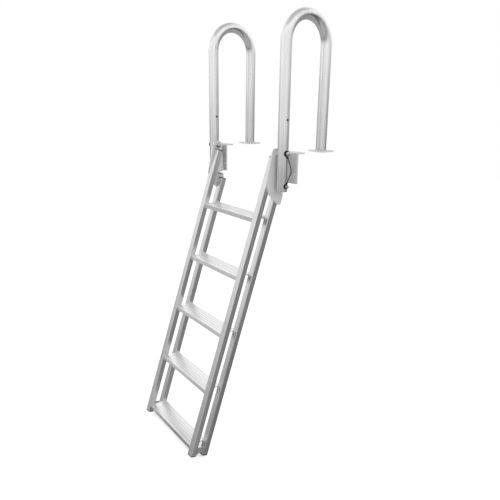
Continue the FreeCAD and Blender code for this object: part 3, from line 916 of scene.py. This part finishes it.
class DOCKLADDER_OT_studio(Operator):
    """Places the camera, lays the pale floor, hangs the lamps and lights the backdrop"""
    bl_idname = "dockladder.studio"
    bl_label = "Camera and studio"

    def execute(self, context):
        studio = context.scene.ladder_studio
        low, high = CAD_BOX
        centre = (low + high) / 2
        self.place_camera(context)
        self.lay_floor(low.z, studio)
        self.hang_lamp("key_lamp", centre + Vector((-2.6, -2.0, 2.4)), centre, 4.4, studio.key_power)
        self.hang_lamp("fill_lamp", centre + Vector((2.9, -1.3, 1.9)), centre, 3.0, studio.fill_power)
        self.light_backdrop(context, studio)
        context.scene.view_settings.view_transform = "Standard"
        return {"FINISHED"}

    def place_camera(self, context):
        """A camera on the water side, right of the ladder and over its middle."""
        eye = Vector((1.6546, -1.6644, 0.2092))
        heading, tilt, roll = math.radians(52.72), math.radians(16.52), math.radians(0.74)
        camera = bpy.data.cameras.new("photo_camera")
        camera.sensor_width = 36.0
        camera.lens = 35.55
        camera.clip_end = 60.0
        turn = (Matrix.Rotation(heading, 4, "Z") @ Matrix.Rotation(math.pi / 2 - tilt, 4, "X")
                @ Matrix.Rotation(roll, 4, "Z"))
        holder = put_in_scene("photo_camera", camera)
        holder.matrix_world = Matrix.Translation(eye) @ turn
        context.scene.camera = holder

    def hang_lamp(self, name, place, target, size, power):
        """A square lamp that faces the ladder. Metal mirrors the backdrop and not the lamp."""
        lamp = bpy.data.lights.new(name, "AREA")
        lamp.shape = "SQUARE"
        lamp.size = size
        lamp.energy = power
        holder = put_in_scene(name, lamp)
        holder.location = place
        holder.rotation_euler = (target - place).to_track_quat("-Z", "Y").to_euler()
        holder.visible_glossy = False

    def ray_kinds(self, tree):
        """What the camera sees, and what metal and clear pieces mirror or let through."""
        seen = add_node(tree, "LightPath")
        kinds = (seen.outputs["Is Glossy Ray"], seen.outputs["Is Transmission Ray"])
        return seen.outputs["Is Camera Ray"], add_node(tree, "Math", kinds, operation="MAXIMUM")

    def lay_floor(self, height, studio):
        """A flat square of floor.

        The camera sees it white where no shadow falls. Metal mirrors a darker floor: one grey
        under and left of the ladder, a darker one in a wedge on its right, and a small share of
        the white. Matt pieces get their light from a plain pale floor.
        """
        reach, glow_strength, plain_grey = 9.0, 0.45, 0.75
        # For each edge of the wedge, the way across it, and how far on it starts and is full
        wedge_edges = (((1.0, -0.8, 0.0), 0.0, 0.45), ((-0.7, 1.0, 0.0), -0.85, -0.45))
        mesh = bpy.data.meshes.new("studio_floor")
        corners = ((-reach, -reach), (reach, -reach), (reach, reach), (-reach, reach))
        mesh.from_pydata([(*corner, height) for corner in corners], [], [(0, 1, 2, 3)])
        put_in_scene("studio_floor", mesh)
        material, tree = start_material("pale_studio_floor")
        mesh.materials.append(material)
        place = add_node(tree, "TexCoord").outputs["Object"]
        edges = []
        for across, start, full in wedge_edges:
            beyond = add_node(tree, "VectorMath", (place, across), operation="DOT_PRODUCT")
            edges.append(add_node(tree, "MapRange", (beyond.outputs["Value"], start, full),
                                  interpolation_type="SMOOTHSTEP"))
        wedge = add_node(tree, "Math", edges, operation="MULTIPLY")
        greys = add_node(tree, "MixRGB", (wedge, (*studio.near_floor, 1), (*studio.far_floor, 1)))
        backdrop = (*studio.backdrop, 1)
        white = add_node(tree, "BsdfDiffuse", (backdrop,))
        glow = add_node(tree, "Emission", (backdrop, glow_strength))
        pale = add_node(tree, "AddShader", (white, glow))
        camera_ray, mirrored_ray = self.ray_kinds(tree)
        colour = add_node(tree, "MixRGB", (mirrored_ray, (plain_grey, plain_grey, plain_grey, 1), greys))
        paint = add_node(tree, "BsdfDiffuse", (colour,))
        in_metal = add_node(tree, "Math", (mirrored_ray, studio.floor_in_metal), operation="MULTIPLY")
        paleness = add_node(tree, "Math", (camera_ray, in_metal), operation="MAXIMUM")
        add_node(tree, "OutputMaterial", (add_node(tree, "MixShader", (paleness, paint, pale)),))

    def light_backdrop(self, context, studio):
        """The light all round.

        The camera sees it white, and matt pieces get a little less light, so that they keep
        their colour. Metal mirrors a curtain of wide folds, which is grey at its foot, and most
        so behind the ladder, rises to white, and ends under a darker ceiling. Heights are parts
        of a line of sight that is one long.
        """
        behind_ladder, half_change = (-0.45, 0.89, 0.0), 0.6
        rise_start, rise_end_before, rise_end_behind, brightest = -0.10, 0.10, 0.26, 1.15
        fold_stretch, folds_round, darkest_fold, brightest_fold = (1.0, 1.0, 0.15), 4.0, 0.86, 1.08
        ceiling_start, ceiling_full, ceiling_shade = 0.62, 0.95, 0.55
        matt_light, white_light = 0.6, 1.0
        world = bpy.data.worlds.new("studio")
        world.use_nodes = True
        tree = world.node_tree
        tree.nodes.clear()
        place = add_node(tree, "TexCoord").outputs["Generated"]
        height = add_node(tree, "SeparateXYZ", (place,)).outputs["Z"]
        behind = add_node(tree, "VectorMath", (place, behind_ladder), operation="DOT_PRODUCT")
        foot, rise_end = (
            add_node(tree, "MapRange", (behind.outputs["Value"], -half_change, half_change, *values))
            for values in ((studio.near_horizon, studio.far_horizon), (rise_end_before, rise_end_behind)))
        rise = add_node(tree, "MapRange", (height, rise_start, rise_end, foot, brightest),
                        interpolation_type="SMOOTHSTEP")
        ceiling = add_node(tree, "MapRange", (height, ceiling_start, ceiling_full, 1.0, ceiling_shade),
                           interpolation_type="SMOOTHSTEP")
        lie = add_node(tree, "Mapping", {"Vector": place, "Scale": fold_stretch})
        noise = add_node(tree, "TexNoise", {"Vector": lie, "Scale": folds_round, "Detail": 1.0})
        folds = add_node(tree, "MapRange", (noise, NOISE_LOW, NOISE_HIGH, darkest_fold, brightest_fold))
        shaded = add_node(tree, "Math", (rise, ceiling), operation="MULTIPLY")
        folded = add_node(tree, "Math", (shaded, folds), operation="MULTIPLY")
        room, curtain, white = (add_node(tree, "Background", ((*studio.backdrop, 1), strength))
                                for strength in (matt_light, folded, white_light))
        camera_ray, mirrored_ray = self.ray_kinds(tree)
        lit = add_node(tree, "MixShader", (mirrored_ray, room, curtain))
        add_node(tree, "OutputWorld", (add_node(tree, "MixShader", (camera_ray, lit, white)),))
        context.scene.world = world


class DOCKLADDER_PT_panel(Panel):
    """Lists the ladder's sizes, finishes and building steps"""
    bl_idname = "DOCKLADDER_PT_panel"
    bl_label = "Dock Ladder"
    bl_space_type = "VIEW_3D"
    bl_region_type = "UI"
    bl_category = "Dock Ladder"

    def draw(self, context):
        layout = self.layout
        for group_name in GROUPS:
            group = getattr(context.scene, group_name)
            column = layout.column()
            for name in group.bl_rna.properties.keys():
                if name not in ("rna_type", "name"):
                    column.prop(group, name)
        for operator in BUILD_ORDER:
            layout.operator(operator.bl_idname)


BUILD_ORDER = (
    DOCKLADDER_OT_lanyards,
    DOCKLADDER_OT_finishes,
    DOCKLADDER_OT_fasteners,
    DOCKLADDER_OT_welds,
    DOCKLADDER_OT_tread_grip,
    DOCKLADDER_OT_studio,
)
GROUPS = {"ladder_finishes": LadderFinishes, "ladder_details": LadderDetails, "ladder_studio": LadderStudio}
CLASSES = (*GROUPS.values(), *BUILD_ORDER, DOCKLADDER_PT_panel)


def register():
    for cls in CLASSES:
        bpy.utils.register_class(cls)
    for name, group in GROUPS.items():
        setattr(Scene, name, PointerProperty(type=group))


def unregister():
    for name in GROUPS:
        delattr(Scene, name)
    for cls in reversed(CLASSES):
        bpy.utils.unregister_class(cls)


def main():
    register()
    bpy.ops.dockladder.lanyards()
    bpy.ops.dockladder.finishes()
    bpy.ops.dockladder.fasteners()
    bpy.ops.dockladder.welds()
    bpy.ops.dockladder.tread_grip()
    bpy.ops.dockladder.studio()


if __name__ == "__main__":
    main()
